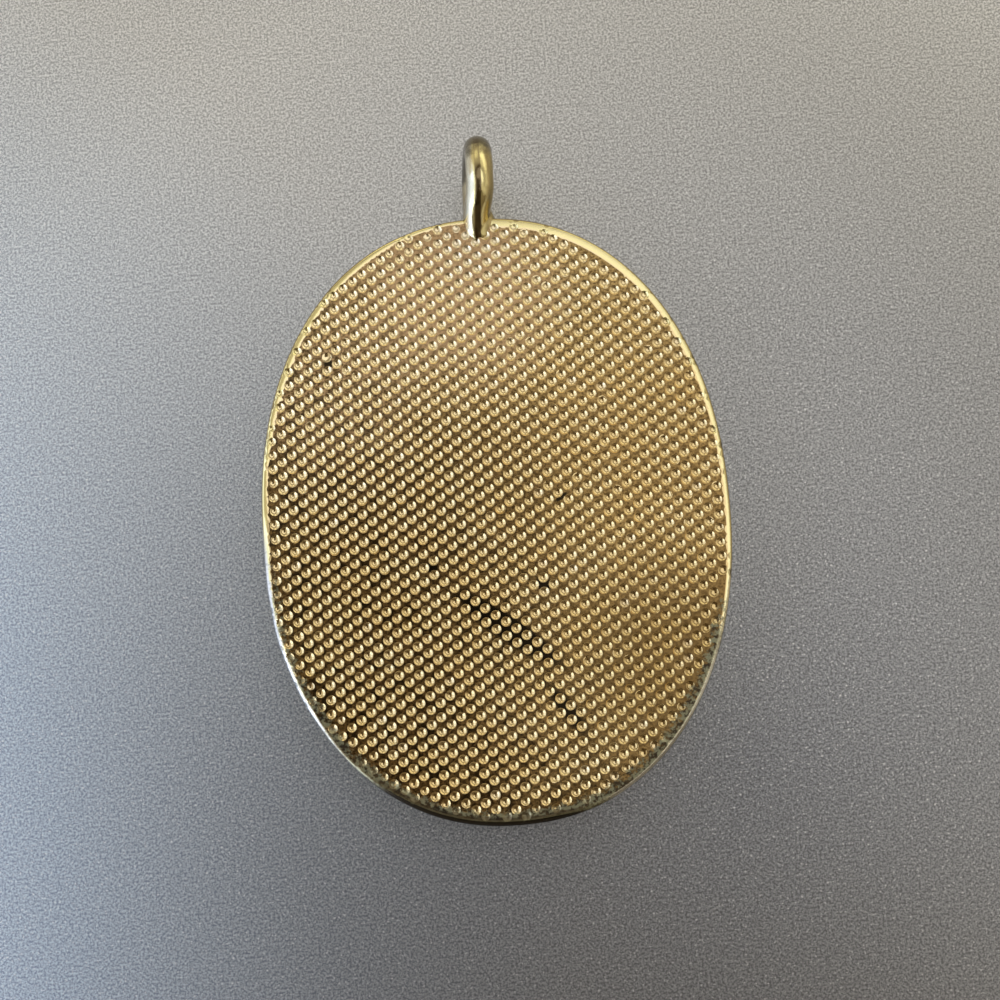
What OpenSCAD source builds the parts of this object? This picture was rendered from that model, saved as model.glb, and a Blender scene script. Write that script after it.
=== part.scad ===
// Oval stone pendant, lying face down: the dimpled cast back looks up (+Z), the hanging ring
// points along +Y, and the crown of the stone rests on the ground. The origin is on the ground,
// under the middle of the whole length, ring and all. All sizes are in millimetres.

/* [Setting] */
// Length of the cast oval, without the ring
setting_l = 45.66; // [44:0.02:50]
// Width of the cast oval
setting_w = 35; // [33:0.2:38]
// Squareness of the oval: 2 is a plain ellipse, more is fuller at the shoulders
squareness = 2.18; // [2:0.02:2.6]
// Height of the side wall, from the front lip to the flat back
wall_h = 3; // [2.4:0.1:5]
// Rounding of the back edge
back_round = 0.45; // [0.3:0.05:0.45]
// Rounding of the front lip
front_round = 0.7; // [0.3:0.05:0.8]
// Metal left between the stone and the flat back
floor_t = 1; // [0.6:0.05:1.4]

/* [Dimples in the back] */
// Spacing of the dimples along a column
dimple_step = 1.05; // [1:0.01:1.15]
// Spacing of the columns
column_step = 0.735; // [0.7:0.005:0.85]
// Depth of a dimple
dimple_depth = 0.18; // [0.08:0.01:0.3]
// Least distance from a dimple's centre to the outline of the setting
dimple_margin = 1.05; // [1.05:0.05:3]
// Angle between the columns and the long axis
column_lean = -1.5; // [-4:0.1:4]
// Angle between the cross rows and the short axis
row_lean = -2.4; // [-4:0.1:4]
// Where the middle dimple lies across the oval
middle_dimple_x = 0.41; // [-0.5:0.01:0.5]
// Where the middle dimple lies along the oval
middle_dimple_y = 0.44; // [-0.5:0.01:0.5]

/* [Hanging ring] */
// Thickness of the ring's wire
wire_d = 2.1; // [1.4:0.1:2.6]
// Outer diameter of the ring
ring_d = 7.8; // [7:0.1:9]
// How far the ring is sunk into the end of the oval
ring_sunk = 1; // [0.8:0.05:1.4]
// How far the ring stands off the long axis
ring_off = 0.65; // [-1:0.05:1]
// Lean of the ring to the side, seen on the back
ring_lean = -2.6; // [-6:0.1:6]
// Twist of the ring about the long axis
ring_twist = 6; // [-8:0.5:8]

/* [Stone] */
// Length of the stone
stone_l = 40; // [30:0.5:42]
// Width of the stone
stone_w = 30; // [22:0.5:32]
// Height of the domed crown that stands out of the front lip
crown_h = 5; // [3:0.1:7]
// Half length of the small flat worn at the top of the crown
crown_flat = 2.4; // [1:0.1:4]
// Gap between the stone and the metal
seat_gap = 0.06; // [0.02:0.01:0.15]

/* [Hidden] */

gold = "#b89a5a";
stone_green = "#24523f";
smooth = 96;

// Heights: the front lip, the floor of the cup and the flat back
lip_z = crown_h;
back_z = lip_z + wall_h;
cup_floor_z = back_z - floor_t;

// The ring stands out of one end, so the oval's own middle lies this far along Y
oval_y = (ring_sunk - ring_d) / 2;

// The oval is drawn with this many points, and each rounded edge with this many steps
outline_points = 96;
round_steps = 4;

// The ring's wire is drawn with this many sides, and the cup is cut this far past the front lip
wire_sides = 32;
lip_cut = 1;

// The dimples are six-sided and share their edges. Their two side corners lie this far from
// the middle of the dimple.
corner_reach = column_step / 2 + dimple_step * dimple_step / (8 * column_step);
last_column = ceil(setting_w / 2 / column_step) + 2;
last_row = ceil(setting_l / 2 / dimple_step) + 3;
rows = 2 * last_row + 1;

// Point of a superellipse with half width a and half length b, at angle t
function oval_point(a, b, t) = [
    a * sign(cos(t)) * pow(abs(cos(t)), 2 / squareness),
    b * sign(sin(t)) * pow(abs(sin(t)), 2 / squareness)
];

// One closed ring of points round the setting, drawn in from its outline by inset, at height z
function outline_ring(inset, z) = [
    for (k = [0:outline_points - 1])
        let (p = oval_point(setting_w / 2 - inset, setting_l / 2 - inset, 360 * k / outline_points))
        [p[0], p[1], z]
];

// The wall in profile as [inset, height], from the flat back round its edge down to the lip
function wall_profile() = concat(
    [for (k = [0:round_steps]) let (t = 90 * k / round_steps)
        [back_round * (1 - sin(t)), back_z - back_round * (1 - cos(t))]],
    [for (k = [round_steps:-1:0]) let (t = 90 * k / round_steps)
        [front_round * (1 - sin(t)), lip_z + front_round * (1 - cos(t))]]
);

// The grid of dimples: column c and row r, counted from the middle dimple. Odd columns are half
// a step up. The grid leans a little against the axes of the oval.
function is_odd(c) = abs(c) % 2;
function grid_point(across, along) = [
    middle_dimple_x + across * cos(row_lean) - along * sin(column_lean),
    middle_dimple_y + across * sin(row_lean) + along * cos(column_lean)
];
function dimple_middle(c, r) = grid_point(c * column_step, (r + is_odd(c) / 2) * dimple_step);
function side_corner(c, r, side) =
    grid_point(c * column_step + side * corner_reach, (r + is_odd(c) / 2) * dimple_step);

// The dimple across edge k of dimple [c, r], for k = 0 at the upper right and then leftwards
function neighbour(d, k) =
    let (c = d[0], r = d[1], up = r + is_odd(c), down = r + is_odd(c) - 1)
    [[c + 1, up], [c, r + 1], [c - 1, up], [c - 1, down], [c, r - 1], [c + 1, down]][k % 6];

// A dimple is made where its middle is well inside the outline
function has_dimple(d) =
    let (p = dimple_middle(d[0], d[1]))
    pow(abs(p[0]) / (setting_w / 2 - dimple_margin), squareness)
        + pow(abs(p[1]) / (setting_l / 2 - dimple_margin), squareness) < 1;

// Points of the back: each dimple has three of its own, its bottom and its two side corners
function point_index(d, which) = 3 * ((d[0] + last_column) * rows + d[1] + last_row) + which;
back_points = [
    for (c = [-last_column:last_column], r = [-last_row:last_row])
        let (bottom = dimple_middle(c, r), left = side_corner(c, r, -1), right = side_corner(c, r, 1))
        each [
            [bottom[0], bottom[1], back_z - dimple_depth],
            [left[0], left[1], back_z],
            [right[0], right[1], back_z]
        ]
];

// The six corners of a dimple, from its right corner leftwards round the top
function corner_index(d, k) =
    [
        point_index(d, 2),
        point_index(neighbour(d, 0), 1),
        point_index(neighbour(d, 2), 2),
        point_index(d, 1),
        point_index(neighbour(d, 3), 2),
        point_index(neighbour(d, 5), 1)
    ][k % 6];

dimple_faces = [
    for (c = [-last_column:last_column], r = [-last_row:last_row])
        if (has_dimple([c, r]))
            for (k = [0:5])
                [point_index([c, r], 0), corner_index([c, r], k + 1), corner_index([c, r], k)]
];

// The edge of the field of dimples, walked from the top dimple of the middle column: at each
// corner the walk turns out to the next dimple if there is one, or else goes on round this one.
top_row = max([for (r = [0:last_row]) if (has_dimple([0, r])) r]);
function field_edge(d = [0, top_row], k = 1, path = []) =
    len(path) > 0 && d == [0, top_row] && k == 1 ? path :
    let (beyond = neighbour(d, k + 1), here = concat(path, [corner_index(d, k)]))
    has_dimple(beyond) ? field_edge(beyond, (k + 5) % 6, here) : field_edge(d, (k + 1) % 6, here);
edge_path = field_edge();

// Where the border between the field and the outline is split in two: at the path's points
// furthest to the right and to the left of the middle
function path_x(k) = back_points[edge_path[k]][0];
function path_y(k) = back_points[edge_path[k]][1];
function nearest_side(side) =
    let (reach = [for (k = [0:len(edge_path) - 1]) side * path_x(k) - abs(path_y(k))])
    search(max(reach), reach)[0];
right_at = nearest_side(1);
left_at = nearest_side(-1);
function path_between(from, to) =
    let (n = len(edge_path), steps = (to - from + n) % n)
    [for (k = [0:steps]) edge_path[(from + k) % n]];

profile = wall_profile();
first_ring = len(back_points);
function ring_index(ring, k) = first_ring + ring * outline_points + k % outline_points;
all_points = concat(back_points, [for (p = profile) each outline_ring(p[0], p[1])]);

// The flat border is cut into triangles by clipping one ear after another from its polygon,
// turning the polygon on by one corner each time so that no corner gathers them all
function tail(list, from) = [for (k = [from:1:len(list) - 1]) list[k]];
function turn(a, b, c) =
    let (p = all_points[a], q = all_points[b], r = all_points[c])
    (q[0] - p[0]) * (r[1] - p[1]) - (q[1] - p[1]) * (r[0] - p[0]);
function inside(a, b, c, d) = turn(a, b, d) <= 0 && turn(b, c, d) <= 0 && turn(c, a, d) <= 0;
function is_ear(loop) =
    let (a = loop[0], b = loop[1], c = loop[2])
    turn(a, b, c) < -0.001
        && len([for (d = tail(loop, 3)) if (d != a && d != c && inside(a, b, c, d)) 1]) == 0;
function ears(loop, cut = []) =
    len(loop) == 3 ? concat(cut, [loop]) :
    is_ear(loop)
        ? ears(concat(tail(loop, 2), [loop[0]]), concat(cut, [[loop[0], loop[1], loop[2]]]))
        : ears(concat(tail(loop, 1), [loop[0]]), cut);

half = outline_points / 2;
border_faces = concat(
    ears(concat([for (k = [half:-1:0]) ring_index(0, k)], path_between(right_at, left_at))),
    ears(concat([for (k = [outline_points:-1:half]) ring_index(0, k)], path_between(left_at, right_at)))
);
wall_faces = [
    for (ring = [0:len(profile) - 2], k = [0:outline_points - 1])
        [ring_index(ring, k), ring_index(ring, k + 1), ring_index(ring + 1, k + 1), ring_index(ring + 1, k)]
];
lip_face = [for (k = [0:outline_points - 1]) ring_index(len(profile) - 1, k)];

// The cast oval, solid through, with its dimples and its rounded edges
module cast_oval() {
    polyhedron(
        points = all_points,
        faces = concat(dimple_faces, border_faces, wall_faces, [lip_face]),
        convexity = 6
    );
}

// Upright oval block of the stone's plan, grown by grow all round, from z_low to z_high
module stone_plan(grow, z_low, z_high) {
    translate([0, 0, z_low])
        scale([(stone_w + 2 * grow) / (stone_l + 2 * grow), 1, 1])
            cylinder(d = stone_l + 2 * grow, h = z_high - z_low, $fn = smooth);
}

// The ring straddles the end of the oval, at the middle of the wall's height
module hanging_ring() {
    translate([ring_off, setting_l / 2 - ring_sunk + ring_d / 2, lip_z + wall_h / 2])
        rotate([0, ring_twist, ring_lean])
            rotate([0, 90, 0])
                rotate_extrude($fn = smooth)
                    translate([(ring_d - wire_d) / 2, 0])
                        circle(d = wire_d, $fn = wire_sides);
}

module setting() {
    color(gold)
        translate([0, oval_y, 0])
            union() {
                difference() {
                    cast_oval();
                    stone_plan(seat_gap, lip_z - lip_cut, cup_floor_z);
                }
                hanging_ring();
            }
}

// The cabochon: an upright girdle inside the cup and a domed crown, cut from a ball and drawn
// in to the oval, with a small flat at its top
module stone() {
    crown_r = (pow(stone_l / 2, 2) + pow(crown_h, 2)) / (2 * crown_h);
    flat_cut = crown_r - sqrt(pow(crown_r, 2) - pow(crown_flat, 2));
    girdle_top = cup_floor_z - seat_gap;
    color(stone_green)
        translate([0, oval_y, 0])
            scale([stone_w / stone_l, 1, 1])
                intersection() {
                    translate([0, 0, crown_r - flat_cut])
                        rotate([90, 0, 0])
                            sphere(r = crown_r, $fn = 2 * smooth);
                    cylinder(d = stone_l, h = girdle_top, $fn = smooth);
                }
}

setting();
stone();
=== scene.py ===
import math
import random

import bpy
from mathutils import Matrix, Vector, noise
from mathutils.geometry import delaunay_2d_cdt


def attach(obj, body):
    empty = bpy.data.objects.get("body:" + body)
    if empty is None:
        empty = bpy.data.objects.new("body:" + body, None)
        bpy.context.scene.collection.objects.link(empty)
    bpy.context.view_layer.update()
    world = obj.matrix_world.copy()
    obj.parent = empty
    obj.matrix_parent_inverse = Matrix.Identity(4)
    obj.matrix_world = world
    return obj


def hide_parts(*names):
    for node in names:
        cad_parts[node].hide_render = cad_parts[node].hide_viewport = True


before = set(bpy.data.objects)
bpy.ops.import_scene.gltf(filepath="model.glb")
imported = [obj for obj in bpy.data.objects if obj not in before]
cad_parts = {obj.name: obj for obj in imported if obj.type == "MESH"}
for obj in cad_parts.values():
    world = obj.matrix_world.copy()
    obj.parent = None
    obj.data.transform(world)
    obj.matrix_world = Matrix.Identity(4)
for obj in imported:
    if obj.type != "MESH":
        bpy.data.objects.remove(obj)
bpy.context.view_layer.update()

# The cast oval: a back covered in round dimples, a side wall, a front lip and a shallow cup for
# the stone, all one casting in white metal with a thin gold plating. The dimples were pressed
# into the model it was cast from, so those at the edge are cut short by the rounded rim.
MM = 0.001
OVAL_MIDDLE_Y = -3.4
HALF_W, HALF_L = 17.5, 22.83
SQUARENESS = 2.18
BACK_Z, LIP_Z, CUP_FLOOR_Z = 8.0, 5.0, 7.0
OUTLINE_POINTS = 240
TURNS = [2 * math.pi * k / OUTLINE_POINTS for k in range(OUTLINE_POINTS)]

# The rim all round the oval, as pairs of an angle from the right and a value. First the radius
# of the rounded edge, and the width and steepest tilt (a sine) of the slope worn inside it.
EDGE_ROUND = [(0, 0.18), (40, 0.18), (60, 0.22), (82, 0.28), (92, 0.2), (108, 0.24), (122, 0.22),
              (172, 0.24), (190, 0.22), (226, 0.22), (245, 0.42), (278, 0.42), (292, 0.22),
              (330, 0.24), (350, 0.18), (360, 0.18)]
EDGE_SLOPE = [(0, 0.24), (20, 0.3), (40, 0.38), (60, 0.46), (82, 0.46), (94, 0.1), (108, 0.16),
              (122, 0.3), (155, 0.33), (170, 0.24), (180, 0.34), (190, 0.3), (210, 0.26),
              (219, 0.12), (232, 0), (280, 0), (294, 0.08), (325, 0.1), (345, 0.2), (360, 0.24)]
SLOPE_TILT = [(0, 0.21), (25, 0.18), (50, 0.12), (160, 0.12), (174, 0.21), (186, 0.56),
              (226, 0.56), (238, 0.21), (360, 0.21)]
# How far the outline swells, the least distance of a dimple's middle and of its side from the
# edge, and how ragged the dimples are.
SWELL = [(0, 0), (178, 0), (184, 0.01), (191, 0.1), (200, 0.2), (210, 0.15), (220, 0.05),
         (232, 0), (360, 0)]
DIMPLE_INSET = [(0, 0.45), (34, 0.48), (50, 0.66), (84, 0.62), (96, 0.24), (150, 0.36),
                (180, 0.3), (200, 0.42), (225, 0.55), (245, 0.6), (284, 0.62), (300, 0.82),
                (335, 0.7), (350, 0.48), (360, 0.45)]
RIM_ROOM = [(0, 0.05), (225, 0.05), (245, 0.28), (284, 0.28), (300, 0.2), (335, 0.05), (360, 0.05)]
RAGGED = [(0, 0.2), (20, 0.1), (84, 0.2), (96, 0.7), (108, 0.6), (120, 0.1), (170, 0.2),
          (190, 0.7), (250, 0.8), (275, 0.5), (300, 1), (335, 0.9), (350, 0.4), (360, 0.2)]
# Width of the dark line along the edge, which is a painted dark reflection, dirt, and bare metal.
DARK_EDGE = [(0, 0.13), (226, 0.15), (246, 0.38), (276, 0.36), (290, 0.15), (360, 0.13)]
DIRT = [(0, 0), (176, 0), (190, 0.5), (225, 0.8), (244, 1), (280, 1), (292, 0.85), (332, 0.75),
        (348, 0), (360, 0)]
BARE = [(0, 0), (176, 0), (190, 1), (214, 1), (228, 0.4), (240, 0), (288, 0), (296, 0.9),
        (325, 0.8), (340, 0.3), (350, 0), (360, 0)]

EDGE_STEPS, SLOPE_STEPS = 5, 3
RIM_ZONE, LAND_ROW = 1.2, 0.07
STEEPEST_FOR_WIDTH = 3
SLOPE_START, SLOPE_SPREAD = 0.28, 0.15
LEVEL = 0.001
HALVINGS = 24
LOOKS_SEAM, DARK_SEAM, DARK_TONE = 0.08, 0.06, 0.5
DIRT_WIDTH, DIRT_FADE, BARE_WIDTH = 0.64, 0.8, 0.3
PLAIN_RIM = (2.0, 0.0, 0.0)


def held(value):
    """A number held between 0 and 1."""
    return min(1.0, max(0.0, value))


def round_rim(table, x, y):
    """Value of one of the tables above at the part of the rim that a point lies nearest to."""
    angle = math.degrees(math.atan2(y / HALF_L, x / HALF_W)) % 360
    for (a, here), (b, after) in zip(table, table[1:]):
        if a <= angle <= b:
            return here + (after - here) * (0.5 - 0.5 * math.cos(math.pi * (angle - a) / (b - a)))


def oval_point(turn, inset=0.0):
    """Point of the outline at the parameter angle turn, drawn in by inset."""
    c, s = math.cos(turn), math.sin(turn)
    across = math.copysign(abs(c) ** (2 / SQUARENESS), c)
    along = math.copysign(abs(s) ** (2 / SQUARENESS), s)
    inset -= round_rim(SWELL, across * HALF_W, along * HALF_L)
    return across * (HALF_W - inset), along * (HALF_L - inset)


def inset_at(x, y):
    """How far inside the outline a point lies, found by halving."""
    low, high = -1.0, HALF_W - 1
    for _ in range(HALVINGS):
        middle = (low + high) / 2
        reach = ((abs(x) / (HALF_W - middle)) ** SQUARENESS
                 + (abs(y) / (HALF_L - middle)) ** SQUARENESS)
        low, high = (middle, high) if reach < 1 else (low, middle)
    return low + round_rim(SWELL, x, y)


def outward(x, y):
    """Level direction straight out of the outline beside a point."""
    return Vector((math.copysign(abs(x / HALF_W) ** (SQUARENESS - 1), x) / HALF_W,
                   math.copysign(abs(y / HALF_L) ** (SQUARENESS - 1), y) / HALF_L, 0)).normalized()


def edge_shape(x, y):
    """Of the edge near a point: radius, tilt where the round part ends, its width, whole width."""
    radius, slope = round_rim(EDGE_ROUND, x, y), round_rim(EDGE_SLOPE, x, y)
    tilt = min(round_rim(SLOPE_TILT, x, y), STEEPEST_FOR_WIDTH * slope)
    round_part = radius * (1 - tilt)
    return radius, tilt, round_part, round_part + slope


def back_surface(x, y):
    """Height and normal of the back as it would be without its dimples."""
    inset = inset_at(x, y)
    radius, tilt, round_part, width = edge_shape(x, y)
    if inset >= width:
        return BACK_Z, Vector((0, 0, 1))
    start = max(SLOPE_START * tilt, tilt - SLOPE_SPREAD)
    gentle = (width - round_part) / (tilt - start) if tilt > LEVEL else 0
    out = start + (width - inset) / gentle if inset > round_part else 1 - inset / radius
    out = min(1.0, out)
    rise = math.sqrt(1 - out * out)
    drop = gentle * (math.sqrt(1 - start * start) - max(rise, math.sqrt(1 - tilt * tilt)))
    drop += radius * max(0.0, math.sqrt(1 - tilt * tilt) - rise)
    return BACK_Z - drop, outward(x, y) * out + Vector((0, 0, rise))


def rim_looks(x, y):
    """Tone, dirt and bareness of the back. Tone 0 is the flat, 1 dimples, 2 the rim, 3 its edge."""
    inset, width = inset_at(x, y), edge_shape(x, y)[-1]
    rim = held((width + LOOKS_SEAM / 2 - inset) / LOOKS_SEAM)
    # The dark line at the edge is a painted dark reflection.
    rim += DARK_TONE * held((round_rim(DARK_EDGE, x, y) - inset) / DARK_SEAM)
    near = held(1 - (inset - DIRT_WIDTH) / DIRT_FADE)
    bare = held((BARE_WIDTH - inset) / LOOKS_SEAM) * round_rim(BARE, x, y)
    return 2 * rim, near * round_rim(DIRT, x, y), bare


DIMPLE_STEP, COLUMN_STEP = 1.05, 0.735
COLUMN_LEAN, ROW_LEAN = math.radians(-1.5), math.radians(-2.4)
MIDDLE_DIMPLE = (0.41, 0.44)
FIELD = range(-26, 27)
WHOLE_PLAN, SAME_POINT = 0, 1e-7
DIMPLE_SIDES = 12
DIMPLE_R, DIMPLE_BALL, SMALLEST_R = 0.37, 0.49, 0.1
DIMPLE_LIP, LIP_ROOM = 1.06, 0.02
DIMPLE_RINGS = (0.96, 0.66, 0.33, 0)
CLOGGED_DIMPLE, CLOGGED_BALL = (-11.53, 13.12), 2.4
RING_FOOT = (0.25, 22.5, 1.0, 1.25)
# How much the dimples differ: a little everywhere, and more where the rim is ragged.
STRAY, SIZE_SPREAD, BALL_SPREAD, BALL_STRAY = 0.009, 0.02, 0.03, 0.008
RAGGED_REACH, RAGGED_STRAY, RAGGED_SHRINK = 2.2, 0.06, 0.3
RAGGED_BALL, RAGGED_BALL_SPREAD, SQUEEZED_BALL = 0.25, 0.8, 0.5
# Dimples with less plating: round the foot of the ring, and the few that were drawn palest.
RING_WEAR, RING_WEAR_REACH, RING_WEAR_MOST = (-0.4, 21.2), 4.5, 0.35
PALE_FROM, PALE_RATE, PALE_MOST = 1.7, 0.3, 0.14


class Dimple:
    """One dimple: a cap of a ball, with its rim on the back. Those at the edge are smaller."""

    def __init__(self, x, y, inset, rng):
        wobble = [rng.gauss(0, 1) for _ in range(7)]
        ragged = round_rim(RAGGED, x, y) * max(0.0, 1 - inset / RAGGED_REACH)
        stray = STRAY + RAGGED_STRAY * ragged
        self.x, self.y = x + stray * wobble[0], y + stray * wobble[1]
        shrink = RAGGED_SHRINK * ragged * abs(wobble[2])
        self.radius = DIMPLE_R * (1 + SIZE_SPREAD * wobble[2] - shrink)
        flatter = ragged * (RAGGED_BALL + RAGGED_BALL_SPREAD * abs(wobble[3]))
        self.ball = DIMPLE_BALL * (1 + BALL_SPREAD * abs(wobble[3]) + flatter)
        self.shift_x, self.shift_y = BALL_STRAY * wobble[4], BALL_STRAY * wobble[5]
        self.tone = wobble[6]
        room = (inset - round_rim(RIM_ROOM, x, y)) / DIMPLE_LIP
        if self.radius > room:
            self.ball *= 1 + SQUEEZED_BALL * (1 - room / self.radius)
            self.radius = room

    def ring(self, share):
        """Points round the dimple at a share of its radius."""
        return [(self.x + self.radius * share * math.cos(2 * math.pi * k / DIMPLE_SIDES),
                 self.y + self.radius * share * math.sin(2 * math.pi * k / DIMPLE_SIDES))
                for k in range(DIMPLE_SIDES if share else 1)]

    def surface(self, x, y):
        """Height and normal inside the dimple, or of the rim where that lies lower."""
        dx, dy = x - self.x - self.shift_x, y - self.y - self.shift_y
        drop = math.sqrt(self.ball ** 2 - dx * dx - dy * dy)
        z = BACK_Z + math.sqrt(self.ball ** 2 - self.radius ** 2) - drop
        base_z, base_normal = back_surface(x, y)
        return (base_z, base_normal) if base_z < z else (z, Vector((-dx, -dy, drop)))

    def covers(self, x, y):
        return math.hypot(x - self.x, y - self.y) < self.radius * DIMPLE_LIP + LIP_ROOM

    def worn(self):
        """How much of the dimple's plating is gone."""
        by_ring = 1 - math.hypot(self.x - RING_WEAR[0], self.y - RING_WEAR[1]) / RING_WEAR_REACH
        return max(RING_WEAR_MOST * by_ring, min(PALE_MOST, PALE_RATE * (self.tone - PALE_FROM)))


class Casting:
    """Places in millimetres, with the normal and the looks of each, and the faces between them."""

    def __init__(self):
        self.places, self.normals, self.looks, self.faces = [], [], [], []

    def point(self, x, y, surface, looks=PLAIN_RIM):
        z, normal = surface
        self.places.append((x * MM, (y + OVAL_MIDDLE_Y) * MM, z * MM))
        self.normals.append(normal.normalized())
        self.looks.append(looks)
        return len(self.places) - 1

    def band(self, upper, lower):
        """Faces between two closed rows of points, or between a row and one middle point."""
        n = len(upper)
        for k in range(n):
            here, after = upper[k], upper[(k + 1) % n]
            below = [lower[k], lower[(k + 1) % n]] if len(lower) > 1 else lower
            self.faces.append([here] + below + [after])

    def piece(self, name):
        mesh = bpy.data.meshes.new(name)
        mesh.from_pydata(self.places, [], self.faces)
        mesh.shade_smooth()
        mesh.normals_split_custom_set_from_vertices(self.normals)
        for look, values in zip(("tone", "dirt", "bare"), zip(*self.looks)):
            mesh.attributes.new(look, "FLOAT", "POINT").data.foreach_set("value", values)
        made = bpy.data.objects.new(name, mesh)
        bpy.context.scene.collection.objects.link(made)
        return made


def plan_dimples():
    """The dimples, column by column. None is made under the foot of the ring."""
    rng = random.Random(7)
    plan = []
    foot_x, foot_y, foot_w, foot_l = RING_FOOT
    for column in FIELD:
        for row in FIELD:
            across = column * COLUMN_STEP
            along = (row + column % 2 / 2) * DIMPLE_STEP
            x = MIDDLE_DIMPLE[0] + across * math.cos(ROW_LEAN) - along * math.sin(COLUMN_LEAN)
            y = MIDDLE_DIMPLE[1] + across * math.sin(ROW_LEAN) + along * math.cos(COLUMN_LEAN)
            if abs(x) > HALF_W or abs(y) > HALF_L:
                continue
            under_ring = ((x - foot_x) / foot_w) ** 2 + ((y - foot_y) / foot_l) ** 2 < 1
            inset = inset_at(x, y)
            if inset > round_rim(DIMPLE_INSET, x, y) and not under_ring:
                plan.append(Dimple(x, y, inset, rng))
                if math.hypot(x - CLOGGED_DIMPLE[0], y - CLOGGED_DIMPLE[1]) < COLUMN_STEP / 2:
                    plan[-1].ball *= CLOGGED_BALL
    return [d for d in plan if d.radius > SMALLEST_R]


def cast_back(cast, dimples):
    """The flat back with its rounded rim and its dimples. Returns its outermost row."""
    plan = [oval_point(turn) for turn in TURNS]
    rim_dimples = [d for d in dimples if inset_at(d.x, d.y) < RIM_ZONE]
    last_step = EDGE_STEPS + SLOPE_STEPS + 1
    for step in range(1, last_step + 1):
        share = 1 - math.cos(math.pi / 2 * min(1, step / EDGE_STEPS))
        for turn in TURNS:
            _, _, round_part, width = edge_shape(*oval_point(turn))
            along_slope = max(0, step - EDGE_STEPS) / SLOPE_STEPS * (width - round_part)
            inset = share * round_part + along_slope if step < last_step else width + LAND_ROW
            x, y = oval_point(turn, inset)
            if not any(d.covers(x, y) for d in rim_dimples):
                plan.append((x, y))
    start = len(plan)
    edges = []
    for d in dimples:
        first = len(plan)
        edges += [(first + k, first + (k + 1) % DIMPLE_SIDES) for k in range(DIMPLE_SIDES)]
        plan += d.ring(DIMPLE_LIP)

    corners, _, triangles, sources, _, _ = delaunay_2d_cdt(
        [Vector(p) for p in plan], edges, [], WHOLE_PLAN, SAME_POINT)
    owner = [(s[0] - start) // DIMPLE_SIDES if s[0] >= start else -1 for s in sources]
    placed = [cast.point(p.x, p.y, back_surface(p.x, p.y), rim_looks(p.x, p.y)) for p in corners]
    corner_of = {s: here for here, group in zip(placed, sources) for s in group}
    for a, b, c in triangles:
        if not owner[a] == owner[b] == owner[c] != -1:
            cast.faces.append([placed[a], placed[b], placed[c]])

    for number, d in enumerate(dimples):
        row = [corner_of[start + number * DIMPLE_SIDES + k] for k in range(DIMPLE_SIDES)]
        for share in DIMPLE_RINGS:
            inner = []
            for x, y in d.ring(share):
                tone, dirt, bare = rim_looks(x, y)
                looks = (max(1.0, tone), dirt, max(bare, d.worn()))
                inner.append(cast.point(x, y, d.surface(x, y), looks))
            cast.band(row[::-1], inner[::-1])
            row = inner
    return [corner_of[k] for k in range(OUTLINE_POINTS)]


WALL_ROWS = (7.2, 6.4)
FRONT_ROUND = 0.7
CUP_HALF_W, CUP_HALF_L = 15.06, 20.06
CUP_BEVEL = 0.2
# The cup's rows, from the lip to its floor: how far outside the cup, height, tilt in degrees.
CUP_ROWS = [(CUP_BEVEL + 0.1, LIP_Z, 0), (CUP_BEVEL, LIP_Z + 0.02, 35),
            (0.03, LIP_Z + CUP_BEVEL - 0.03, 55), (0, LIP_Z + CUP_BEVEL, 85), (0, CUP_FLOOR_Z, 90)]


def cast_front(cast, row):
    """The side wall, the rounded front lip and the cup, from the back's outermost row on."""
    down = Vector((0, 0, -1))
    profile = [(0, z, 0) for z in WALL_ROWS]
    for step in range(EDGE_STEPS + 1):
        t = math.pi / 2 * step / EDGE_STEPS
        z = LIP_Z + FRONT_ROUND * (1 - math.sin(t))
        profile.append((FRONT_ROUND * (1 - math.cos(t)), z, t))
    for inset, z, t in profile:
        lower = []
        for turn in TURNS:
            x, y = oval_point(turn, inset)
            lower.append(cast.point(x, y, (z, outward(x, y) * math.cos(t) + down * math.sin(t))))
        cast.band(row, lower)
        row = lower
    for grow, z, tilt in CUP_ROWS:
        t = math.radians(tilt)
        lower = []
        for turn in TURNS:
            c, s = math.cos(turn), math.sin(turn)
            inward = -Vector((c / CUP_HALF_W, s / CUP_HALF_L, 0)).normalized()
            lower.append(cast.point((CUP_HALF_W + grow) * c, (CUP_HALF_L + grow) * s,
                                    (z, inward * math.sin(t) + down * math.cos(t))))
        cast.band(row, lower)
        row = lower
    cast.band(row, [cast.point(0, 0, (CUP_FLOOR_Z, down))])


casting = Casting()
cast_front(casting, cast_back(casting, plan_dimples()))
cast_setting = casting.piece("cast_setting")


class Value:
    """An output of a material's node, which can be reckoned with."""

    def __init__(self, finish, socket):
        self.finish, self.socket = finish, socket

    def reckon(self, operation, left, right):
        return self.finish.node("ShaderNodeMath", {"operation": operation}, {0: left, 1: right})

    def __add__(self, other): return self.reckon("ADD", self, other)
    def __radd__(self, other): return self.reckon("ADD", other, self)
    def __sub__(self, other): return self.reckon("SUBTRACT", self, other)
    def __rsub__(self, other): return self.reckon("SUBTRACT", other, self)
    def __mul__(self, other): return self.reckon("MULTIPLY", self, other)
    def __rmul__(self, other): return self.reckon("MULTIPLY", other, self)
    def __truediv__(self, other): return self.reckon("DIVIDE", self, other)
    def __pow__(self, other): return self.reckon("POWER", self, other)
    def most(self, other): return self.reckon("MAXIMUM", self, other)
    def least(self, other): return self.reckon("MINIMUM", self, other)


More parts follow.
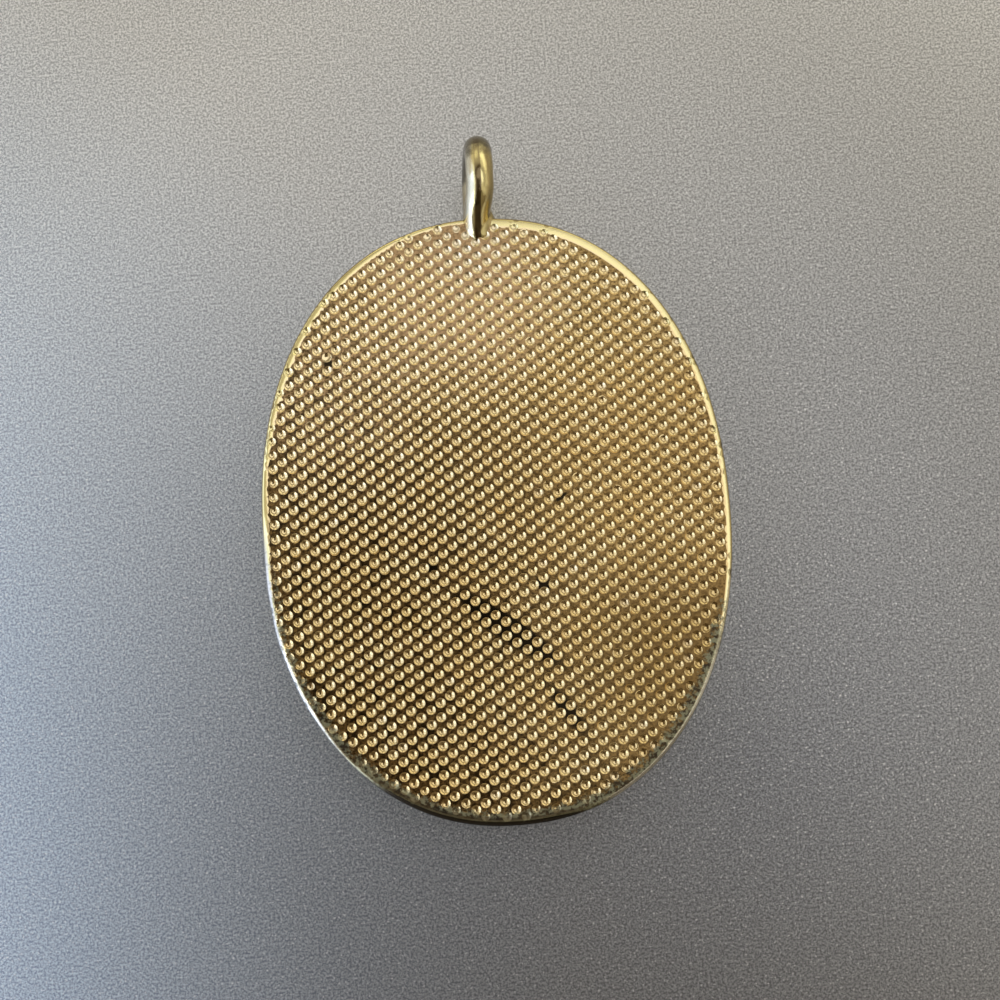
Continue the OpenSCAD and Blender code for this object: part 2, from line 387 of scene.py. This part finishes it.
class Finish:
    """A surface finish in the making, around one glossy shader."""

    def __init__(self, name):
        self.material = bpy.data.materials.new(name)
        self.material.use_nodes = True
        self.tree = self.material.node_tree
        self.shader = self.tree.nodes["Principled BSDF"]
        spot = self.node("ShaderNodeTexCoord", out="Object")
        self.mm = self.node("ShaderNodeVectorMath", {"operation": "SCALE"},
                            {0: spot, "Scale": 1 / MM})

    def plug(self, socket, value):
        if isinstance(value, Value):
            self.tree.links.new(value.socket, socket)
        else:
            socket.default_value = value

    def node(self, kind, settings=None, sockets=None, out=0):
        made = self.tree.nodes.new(kind)
        for name, setting in (settings or {}).items():
            if name == "stops":
                while len(made.color_ramp.elements) < len(setting):
                    made.color_ramp.elements.new(0.5)
                for stop, (position, shade) in zip(made.color_ramp.elements, setting):
                    stop.position, stop.color = position, (shade, shade, shade, 1)
            else:
                setattr(made, name, setting)
        for name, value in (sockets or {}).items():
            self.plug(made.inputs[name], value)
        return Value(self, made.outputs[out])

    def place(self, axis):
        """Millimetres along the axis X, Y or Z of the whole pendant."""
        return self.node("ShaderNodeSeparateXYZ", {}, {0: self.mm}, out=axis)

    def grain(self, scale, detail=2.0, roughness=0.5, stretch=(1, 1, 1)):
        """Soft noise from 0 to 1, with scale lumps a millimetre."""
        where = self.node("ShaderNodeVectorMath", {"operation": "MULTIPLY"},
                          {0: self.mm, 1: stretch})
        return self.node("ShaderNodeTexNoise", {}, {"Vector": where, "Scale": scale,
                                                    "Detail": detail, "Roughness": roughness})

    def steps(self, value, *stops):
        """Value read through a ramp of (position, shade) stops."""
        return self.node("ShaderNodeValToRGB", {"stops": stops}, {0: value})

    def mix(self, mask, under, over):
        """Colour over laid on colour under where mask is 1."""
        return self.node("ShaderNodeMix", {"data_type": "RGBA"}, {0: mask, 6: under, 7: over},
                         out=2)

    def spot(self, x, y, half_w, half_l, turn=0.0):
        """1 in the middle of an oval spot of the back, falling to 0 at its edge."""
        middle = (x, y + OVAL_MIDDLE_Y, 0)
        off = self.node("ShaderNodeVectorMath", {"operation": "SUBTRACT"}, {0: self.mm, 1: middle})
        off = self.node("ShaderNodeVectorRotate", {"rotation_type": "Z_AXIS"},
                        {"Vector": off, "Angle": -math.radians(turn)})
        off = self.node("ShaderNodeVectorMath", {"operation": "MULTIPLY"},
                        {0: off, 1: (1 / half_w, 1 / half_l, 0)})
        reach = self.node("ShaderNodeVectorMath", {"operation": "LENGTH"}, {0: off}, out="Value")
        return (1 - reach).most(0)

    def bump(self, strength, depth, height):
        """Normal of a surface roughened by height, depth in millimetres."""
        return self.node("ShaderNodeBump", {},
                         {"Strength": strength, "Distance": depth * MM, "Height": height})

    def finish(self, **inputs):
        for name, value in inputs.items():
            self.plug(self.shader.inputs[name.replace("_", " ")], value)


GOLD, WHITE_METAL, EDGE_REFLECTION_DARK = (0.98, 0.86, 0.44, 1), (0.86, 0.84, 0.8, 1), (0.36, 0.27, 0.13, 1)
HOLLOW, PALE_HOLLOW = (0.83, 0.62, 0.3, 1), (0.84, 0.67, 0.37, 1)
LIT_HOLLOW, SHADED_HOLLOW = (0.97, 0.8, 0.48, 1), (0.5, 0.34, 0.13, 1)
WORN_LAND, PALE_LAND = (0.38, 0.24, 0.088, 1), (0.64, 0.41, 0.165, 1)
TOP_LIT_LAND, RUBBED_LAND = (0.53, 0.36, 0.145, 1), (0.66, 0.44, 0.24, 1)
TARNISH_AND_SHADE, VERDIGRIS, SOOT_AND_DARK_REFLECTION = (0.1, 0.058, 0.02, 1), (0.3, 0.3, 0.19, 1), (0.03, 0.022, 0.012, 1)
# Places on the back: middle, half width, half length.
RUBBED_TOP = (-1.9, 17.2, 12.0, 11.0)
PALE_SIDE = (-11.5, 9.5, 8, 9)
SHADED_SIDE = (12.5, -11.5, 9, 10.5)
# Black smears, dark specks and a dark line: the same with a turn in degrees and a strength.
BLACK_MARKS = [(0.35, -8.5, 5.9, 1.15, -38.5, 3), (4.2, -14.8, 3.2, 0.8, -56, 2),
               (-4.98, -3.5, 0.55, 0.5, 0, 3), (3.2, -5.4, 0.8, 0.6, -45, 3),
               (-11.65, 12.5, 0.5, 0.42, 0, 2.5), (5.05, 0.95, 0.7, 0.22, 32, 2.5)]

plating = Finish("worn_gold_plating")
tone, dirt, bare = (plating.node("ShaderNodeAttribute", {"attribute_name": name}, out="Fac")
                    for name in ("tone", "dirt", "bare"))
land = plating.steps(tone, (0.3, 1), (0.6, 0))
rim = plating.steps(tone - 1, (0.1, 0), (0.6, 1))
edge = plating.steps(tone - 2, (0.15, 0), (0.45, 1))
across, along = plating.place("X"), plating.place("Y")
patches = plating.grain(0.25, 3)
blotches = plating.grain(0.9, 3, 0.6)
speckle = plating.grain(4.6, 3, 0.75)

# The flat between the dimples: painted light makes it lighter towards the top and paler towards
# the lower left; it is rubbed pale, then tarnish and soot lie over it, with a painted shade on the
# lower right.
# Painted light: the flat is lighter towards the top, and paler where it is painted lit at the lower
# left.
painted_top_light = plating.steps(along / 60 + 0.5, (0.5, 0), (0.8, 1))
lit = (plating.steps(0.4 - along / 45, (0.3, 0), (0.8, 1))
       * plating.steps(0.5 + across / 20, (0.45, 1), (0.75, 0)))
rubbed = plating.steps(plating.spot(*RUBBED_TOP) + 0.3 * patches, (0.3, 0), (0.8, 1))
pale_side = plating.steps(plating.spot(*PALE_SIDE), (0, 0), (0.6, 0.75))
grimy = plating.steps(0.4 - across / 40 + 0.35 * blotches, (0.35, 0), (0.95, 1))
sandy = plating.steps(speckle, (0.38, 0.9), (0.6, 0)) * (1 - 0.5 * rubbed)
# Painted shade: the flat and the dimples on the lower right are darkened.
shaded = plating.steps(plating.spot(*SHADED_SIDE), (0, 0), (0.7, 0.6))
sooty = (plating.steps(0.5 - along / 80 - across / 35, (0.35, 0), (0.9, 1))
         * plating.steps(blotches, (0.48, 0), (0.62, 0.75)))
flat = plating.mix(painted_top_light, plating.mix(lit, WORN_LAND, PALE_LAND), TOP_LIT_LAND)
flat = plating.mix(rubbed, flat, RUBBED_LAND)
flat = plating.mix(pale_side, flat, RUBBED_LAND)
flat = plating.mix(grimy * 0.25 + sandy, flat, TARNISH_AND_SHADE)
flat = plating.mix(shaded, flat, TARNISH_AND_SHADE)
flat = plating.mix(sooty, flat, SOOT_AND_DARK_REFLECTION)

# The dimples, with painted light in the upper half and painted shade on the lower right; the rim
# and its dark edge, which is a painted dark reflection, blackest along the bottom where soot adds
# to it; then bare metal, the black marks and the crust.
brushed = plating.steps(along / 55 + across / 45, (0.06, 0), (0.42, 1))
# Painted highlight: the dimples are made brighter towards the upper half.
painted_upper_light = plating.steps(along / 60 - across / 120 + 0.5, (0.45, 0), (0.75, 1))
hollow = plating.mix(plating.steps(patches, (0.4, 0), (0.7, 1)), HOLLOW, PALE_HOLLOW)
hollow = plating.mix(painted_upper_light, hollow, LIT_HOLLOW)
# Painted shade: the dimples on the lower right are darkened.
hollow = plating.mix(shaded, hollow, SHADED_HOLLOW)
# Painted dark reflection: the dark line along the rim's edge.
colour = plating.mix(rim, hollow, plating.mix(edge * 0.85, GOLD, EDGE_REFLECTION_DARK))
colour = plating.mix(bare, colour, WHITE_METAL)
colour = plating.mix(land, colour, flat)
marks = [plating.spot(*place) * strength for *place, strength in BLACK_MARKS]
black = marks[0]
for mark in marks[1:]:
    black = black.most(mark)
colour = plating.mix(black.least(1) * land, colour, SOOT_AND_DARK_REFLECTION)
crust = (plating.steps(dirt * 0.5 + plating.grain(2.2, 4, 0.75), (0.72, 0), (0.84, 1))
         * (1 - 0.8 * bare))
# Darkest dirt along the bottom, which also blackens the edge there with a painted dark reflection.
deep_dirt_and_dark_reflection = plating.steps(dirt, (0.88, 0), (0.97, 1))
crumb_shade = plating.steps(plating.grain(3.1, 3, 0.7), (0.46, 0), (0.52, 1))
crumbs = plating.mix(crumb_shade * (1 - 0.85 * deep_dirt_and_dark_reflection), SOOT_AND_DARK_REFLECTION, VERDIGRIS)
colour = plating.mix(crust * 0.85, colour, crumbs)
# Soot and a painted dark reflection: the edge is blackened along the bottom.
colour = plating.mix(edge * deep_dirt_and_dark_reflection, colour, SOOT_AND_DARK_REFLECTION)
plating.finish(
    Base_Color=colour, Metallic=1.0 - 0.4 * crust,
    Roughness=0.05 + 0.16 * land + 0.05 * patches + 0.1 * rubbed + 0.12 * brushed + 0.2 * crust,
    Normal=plating.bump(0.12, 0.02, speckle))
cast_setting.data.materials.append(plating.material)
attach(cast_setting, "root")
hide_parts("setting")

# The hanging ring: round wire bent to a ring, set on edge across the end of the oval and cast
# in one with it, so its foot runs out into the back and the lip in a small hollow curve, and
# leans a little to the left. The gold is worn off the left of the wire and it is dull on top,
# where a dark reflection is painted too; a painted dark reflection runs down the middle of its
# lower half.
RING_MIDDLE = Vector((0.65, 25.73, 6.5))
RING_AXIS = Vector((0.993498, -0.045114, -0.104528))
RING_BEND, WIRE_R = 2.85, 1.05
RING_TURNS, WIRE_SIDES = 200, 48
RIPPLE, RIPPLE_SCALE = 0.018, 0.9
FOOT_CURVE, FOOT_CURVE_LEFT = 0.42, 0.08
FOOT_CURVE_Y, FOOT_CURVE_FADE = 23.3, 0.7
FOOT_RUN, FOOT_RUN_HEIGHT = 0.85, 1.5
FOOT_BEND, BEND_Y, BEND_RUN = 0.4, 24.9, 3.0
BEND_Z, BEND_RISE = 6.9, 1.2


def ring_point(around, side):
    """Point of the ring at the angle around it and the angle side round its wire."""
    along = (Vector((0, 1, 0)) - RING_AXIS * RING_AXIS.y).normalized()
    rise = RING_AXIS.cross(along)
    out = along * math.cos(around) + rise * math.sin(around)
    normal = out * math.cos(side) + RING_AXIS * math.sin(side)
    p = RING_MIDDLE + out * RING_BEND + normal * WIRE_R
    p += normal * RIPPLE * noise.noise(p * RIPPLE_SCALE)
    bent = held((BEND_Y - p.y) / BEND_RUN) * held((p.z - BEND_Z) / BEND_RISE)
    p.x -= FOOT_BEND * bent * bent * (3 - 2 * bent)
    level = Vector((normal.x, normal.y, 0))
    if out.y < 0 and level.length > 0.01:
        height = p.z - BACK_Z if p.z > RING_MIDDLE.z else LIP_Z - p.z
        curve = FOOT_CURVE_LEFT + (FOOT_CURVE - FOOT_CURVE_LEFT) * (0.5 + 0.5 * normal.x)
        curve *= max(0.01, held((FOOT_CURVE_Y - p.y) / FOOT_CURVE_FADE))
        gap = held(1 - height / curve)
        p += level.normalized() * curve * (1 - math.sqrt(1 - gap * gap)) * level.length
        gap = held(1 - height / FOOT_RUN_HEIGHT)
        p.y -= FOOT_RUN * gap * gap * max(0.0, -normal.y) ** 2
    return p


ring = bpy.data.meshes.new("hanging_ring")
ring_places = [ring_point(2 * math.pi * i / RING_TURNS, 2 * math.pi * j / WIRE_SIDES)
               for i in range(RING_TURNS) for j in range(WIRE_SIDES)]
ring_faces = [[i * WIRE_SIDES + j, i * WIRE_SIDES + (j + 1) % WIRE_SIDES,
               (i + 1) % RING_TURNS * WIRE_SIDES + (j + 1) % WIRE_SIDES,
               (i + 1) % RING_TURNS * WIRE_SIDES + j]
              for i in range(RING_TURNS) for j in range(WIRE_SIDES)]
ring.from_pydata([(p + Vector((0, OVAL_MIDDLE_Y, 0))) * MM for p in ring_places], [], ring_faces)
ring.shade_smooth()
hanging_ring = bpy.data.objects.new("hanging_ring", ring)
bpy.context.scene.collection.objects.link(hanging_ring)

DULL_METAL_AND_DARK_REFLECTION, DARK_STRIPE_REFLECTION = (0.12, 0.1, 0.065, 1), (0.1, 0.055, 0.035, 1)
BROWN_FLANK = (0.34, 0.25, 0.11, 1)
FLANK_MIDDLE = 0.72
DARK_TOP_Y, DARK_TOP_RUN = 22.8, 2.6
DARK_STRIPE_Y, DARK_STRIPE_RUN = 17.7, 9

ring_plating = Finish("worn_ring_plating")
up = ring_plating.place("Y")
foot_bend = ring_plating.steps((BEND_Y + OVAL_MIDDLE_Y - up) / BEND_RUN, (0, 0), (1, 1))
side = ring_plating.place("X") + FOOT_BEND * foot_bend
wear = ring_plating.grain(0.9, 4, 0.6)
scuffs = ring_plating.grain(2.5, 4, 0.7, stretch=(2.5, 0.6, 1))
# Dull, rougher metal on top of the ring, darkened as well by a painted dark reflection.
dull_top_and_dark_reflection = ring_plating.steps(
    (up - DARK_TOP_Y) / DARK_TOP_RUN + 1.4 * (wear - 0.5) + 0.5 * (0.2 - side).most(0),
    (0.4, 0), (0.75, 1))
# Painted dark reflection: a brown stripe down the middle of the wire's lower half.
painted_dark_stripe = (ring_plating.steps(side - 0.1 + 0.12 * (wear - 0.5),
                            (0.46, 0), (0.58, 1), (0.96, 1), (1.0, 0))
         * ring_plating.steps((up - DARK_STRIPE_Y) / DARK_STRIPE_RUN,
                              (0.53, 1), (0.6, 0.5), (0.88, 0.45), (0.95, 0)))
flank = ring_plating.steps(((side - FLANK_MIDDLE) ** 2) ** 0.5 + 0.3 * (wear - 0.5),
                           (0.6, 0), (0.88, 1))
silver = ring_plating.steps(side - 0.1 + 0.4 * (wear - 0.5), (0.25, 0.6), (0.45, 0))
ring_colour = ring_plating.mix(silver, GOLD, WHITE_METAL)
ring_colour = ring_plating.mix(flank * 0.8, ring_colour, BROWN_FLANK)
ring_colour = ring_plating.mix(dull_top_and_dark_reflection * 0.9, ring_colour, DULL_METAL_AND_DARK_REFLECTION)
ring_colour = ring_plating.mix(painted_dark_stripe * 0.85, ring_colour, DARK_STRIPE_REFLECTION)
ring_plating.finish(Base_Color=ring_colour, Metallic=1.0,
                    Roughness=0.04 + 0.14 * dull_top_and_dark_reflection + 0.05 * scuffs,
                    Normal=ring_plating.bump(0.4, 0.04, scuffs))
hanging_ring.data.materials.append(ring_plating.material)
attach(hanging_ring, "root")
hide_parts("setting")

# The stone: an oval cabochon with an upright girdle and a low dome, ground and polished, and
# cemented into the cup. It faces down here and carries the pendant on the top of its dome.
STONE_HALF_W, STONE_HALF_L = 15.0, 20.0
DOME_R, DOME_CUT = 42.5, 0.068
GIRDLE_TOP, GIRDLE_BEVEL = 6.94, 0.96
STONE_ROWS, STONE_SIDES = 28, 128
SHARP_ANGLE = math.radians(40)
STONE_GREEN, STONE_DARK = (0.03, 0.1, 0.06, 1), (0.01, 0.03, 0.02, 1)
STONE_PALE = (0.2, 0.32, 0.2, 1)

stone_rows = []
for row in range(1, STONE_ROWS + 1):
    share = row / STONE_ROWS
    height = DOME_R - DOME_CUT - math.sqrt(DOME_R ** 2 - (STONE_HALF_L * share) ** 2)
    stone_rows.append((share, max(height, 0)))
stone_rows += [(1, GIRDLE_TOP), (GIRDLE_BEVEL, GIRDLE_TOP)]
stone_places, stone_faces = [(0, OVAL_MIDDLE_Y * MM, 0)], []
for share, height in stone_rows:
    for k in range(STONE_SIDES):
        turn = 2 * math.pi * k / STONE_SIDES
        x, y = STONE_HALF_W * share * math.cos(turn), STONE_HALF_L * share * math.sin(turn)
        stone_places.append((x * MM, (y + OVAL_MIDDLE_Y) * MM, height * MM))
for row in range(len(stone_rows) - 1):
    for k in range(STONE_SIDES):
        here, after = 1 + row * STONE_SIDES + k, 1 + row * STONE_SIDES + (k + 1) % STONE_SIDES
        stone_faces.append([here, after, after + STONE_SIDES, here + STONE_SIDES])
        if row == 0:
            stone_faces.append([0, after, here])
last = 1 + (len(stone_rows) - 1) * STONE_SIDES
stone_faces.append([last + k for k in range(STONE_SIDES)])
stone_mesh = bpy.data.meshes.new("cabochon")
stone_mesh.from_pydata(stone_places, [], stone_faces)
stone_mesh.shade_smooth()
stone_mesh.set_sharp_from_angle(angle=SHARP_ANGLE)
cabochon = bpy.data.objects.new("cabochon", stone_mesh)
bpy.context.scene.collection.objects.link(cabochon)

polish = Finish("polished_green_stone")
clouds = polish.grain(0.12, 5, 0.6)
veins = polish.grain(0.3, 6, 0.65, stretch=(1, 0.5, 1))
shade = polish.mix(polish.steps(clouds, (0.35, 0), (0.7, 1)), STONE_GREEN, STONE_DARK)
shade = polish.mix(polish.steps(veins, (0.5, 0), (0.56, 0.5), (0.6, 0)), shade, STONE_PALE)
polish.finish(Base_Color=shade, Roughness=0.08 + 0.05 * clouds)
cabochon.data.materials.append(polish.material)
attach(cabochon, "root")
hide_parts("stone")

# The floor: a plain pale sheet of metal with a fine satin tooth, with a cool light from the window
# painted on its left and a soft shade painted on its near side.
SHEET_SIZE = 3
SATIN_DARK, SATIN_PALE = (0.43, 0.425, 0.42, 1), (0.96, 0.95, 0.94, 1)
WINDOW_LIGHT_DARK, WINDOW_LIGHT_PALE = (0.33, 0.4, 0.57, 1), (0.78, 0.9, 1, 1)
NEAR_SHADE_DARK, NEAR_SHADE_PALE = (0.05, 0.056, 0.075, 1), (0.18, 0.195, 0.24, 1)
GLITTER = (1, 1, 1, 1)

bpy.ops.mesh.primitive_plane_add(size=SHEET_SIZE)
floor = bpy.context.object
floor.name = "floor"
sheet = Finish("satin_sheet")
tooth = sheet.steps(sheet.grain(5.6, 2, 0.85), (0.41, 0), (0.59, 1))
glitter = sheet.steps(sheet.grain(5.3, 1, 0.5), (0.62, 0), (0.72, 1))
# Painted light and shade: a cool window light painted on the left, a soft shade painted on the near
# side.
painted_near_shade = sheet.steps(sheet.spot(18, -20, 72, 70), (0, 0), (0.5, 0.65), (1, 1))
painted_window_light = sheet.steps(sheet.spot(-62, -28, 66, 85), (0, 0), (0.6, 1))
satin = sheet.mix(tooth, SATIN_DARK, SATIN_PALE)
satin = sheet.mix(painted_window_light * 0.9, satin, sheet.mix(tooth, WINDOW_LIGHT_DARK, WINDOW_LIGHT_PALE))
satin = sheet.mix(painted_near_shade * 0.7, satin, sheet.mix(tooth, NEAR_SHADE_DARK, NEAR_SHADE_PALE))
sheet.finish(Base_Color=sheet.mix(glitter * 0.7, satin, GLITTER), Metallic=0.9, Roughness=0.45)
floor.data.materials.append(sheet.material)

# The light: a softbox overhead to the right, a cool window low on the left with a brighter
# middle and a side, the warm far walls of the room low behind, and a dim wall on the right.
SOFTBOXES = [
    # name, azimuth, tilt from overhead, distance, width, height, radiance
    ("overhead", 50, 11, 0.7, 0.6, 0.5, (0.56, 0.6, 0.66)),
    ("window", 195, 62, 0.42, 0.6, 0.41, (0.45, 0.6, 0.88)),
    ("window_middle", 210, 62, 0.4, 0.26, 0.2, (0.85, 0.95, 1.1)),
    ("window_side", 152, 55, 0.5, 0.3, 0.4, (0.25, 0.3, 0.36)),
    ("far_wall_right", 48, 62, 0.8, 0.75, 0.3, (0.62, 0.63, 0.48)),
    ("far_wall_left", 107, 64, 0.8, 0.26, 0.34, (0.6, 0.58, 0.4)),
    ("right_wall", 5, 68, 0.8, 0.4, 0.4, (0.25, 0.25, 0.22)),
]
ROOM_COLOUR = (0.54, 0.49, 0.4, 1)

for name, azimuth, tilt, distance, width, height, radiance in SOFTBOXES:
    a, t = math.radians(azimuth), math.radians(tilt)
    away = Vector((math.sin(t) * math.cos(a), math.sin(t) * math.sin(a), math.cos(t)))
    lamp = bpy.data.lights.new(name, "AREA")
    lamp.shape, lamp.size, lamp.size_y = "RECTANGLE", width, height
    lamp.color, lamp.energy = radiance, math.pi * width * height
    softbox = bpy.data.objects.new(name, lamp)
    softbox.location = away * distance
    softbox.rotation_euler = away.to_track_quat("Z", "Y").to_euler()
    softbox.visible_camera = False
    bpy.context.scene.collection.objects.link(softbox)

world = bpy.data.worlds.new("room")
world.use_nodes = True
world.node_tree.nodes["Background"].inputs["Color"].default_value = ROOM_COLOUR
world.node_tree.nodes["Background"].inputs["Strength"].default_value = 1.0
bpy.context.scene.world = world
bpy.context.scene.view_settings.view_transform = "Standard"

# The cards: brown felt boards level with the lens, round it and below it, which keep glare off
# the flat metal and give each dimple its dark middle, and a curved batten beyond them.
CARD_HEIGHT = 119.5
BATTEN_NEAR, BATTEN_FAR = 82, 106
BATTEN_ENDS = range(-20, 161, 10)
CARDS = [
    # name, colour, outline
    ("card_round_lens", (0.26, 0.19, 0.11, 1),
     [(-40, 24), (6, 24), (6, -34), (24, -60), (48, -105), (62, -150), (-112, -150), (-84, -105),
      (-46, -44)]),
    ("card_below_lens", (0.6, 0.5, 0.36, 1),
     [(6, -34), (60, -50), (120, -90), (700, -390), (700, -700), (-500, -700), (-230, -300),
      (-112, -150), (62, -150), (48, -105), (24, -60)]),
    ("batten", (0.5, 0.42, 0.3, 1),
     [(reach * math.cos(math.radians(a)), reach * math.sin(math.radians(a)))
      for reach, turns in ((BATTEN_NEAR, BATTEN_ENDS), (BATTEN_FAR, reversed(BATTEN_ENDS)))
      for a in turns]),
]

for name, shade, outline in CARDS:
    card_mesh = bpy.data.meshes.new(name)
    card_mesh.from_pydata([(x * MM, y * MM, CARD_HEIGHT * MM) for x, y in outline], [],
                          [range(len(outline))])
    card = bpy.data.objects.new(name, card_mesh)
    bpy.context.scene.collection.objects.link(card)
    felt = Finish(name)
    felt.finish(Base_Color=shade, Roughness=0.9)
    card.data.materials.append(felt.material)
    card.visible_camera = False

# The camera: looks down at the back from a little below its middle, as in the photograph, and
# is turned a little, so that the pendant stands upright in the picture.
CAMERA_PLACE = Vector((3.279, -11.822 + OVAL_MIDDLE_Y, 111.18 + BACK_Z)) * MM
IMAGE_RIGHT = Vector((0.99619, -0.08015, -0.03451))
IMAGE_DOWN = Vector((-0.08357, -0.99008, -0.11294))
AHEAD = Vector((-0.02512, 0.1154, -0.993))
LENS, SENSOR_WIDTH = 54, 36

camera = bpy.data.objects.new("camera", bpy.data.cameras.new("camera"))
bpy.context.scene.collection.objects.link(camera)
camera.matrix_world = Matrix.Translation(CAMERA_PLACE) @ Matrix(
    (IMAGE_RIGHT, -IMAGE_DOWN, -AHEAD)).transposed().to_4x4()
camera.data.lens, camera.data.sensor_width = LENS, SENSOR_WIDTH
camera.data.clip_start = 1 * MM
bpy.context.scene.camera = camera
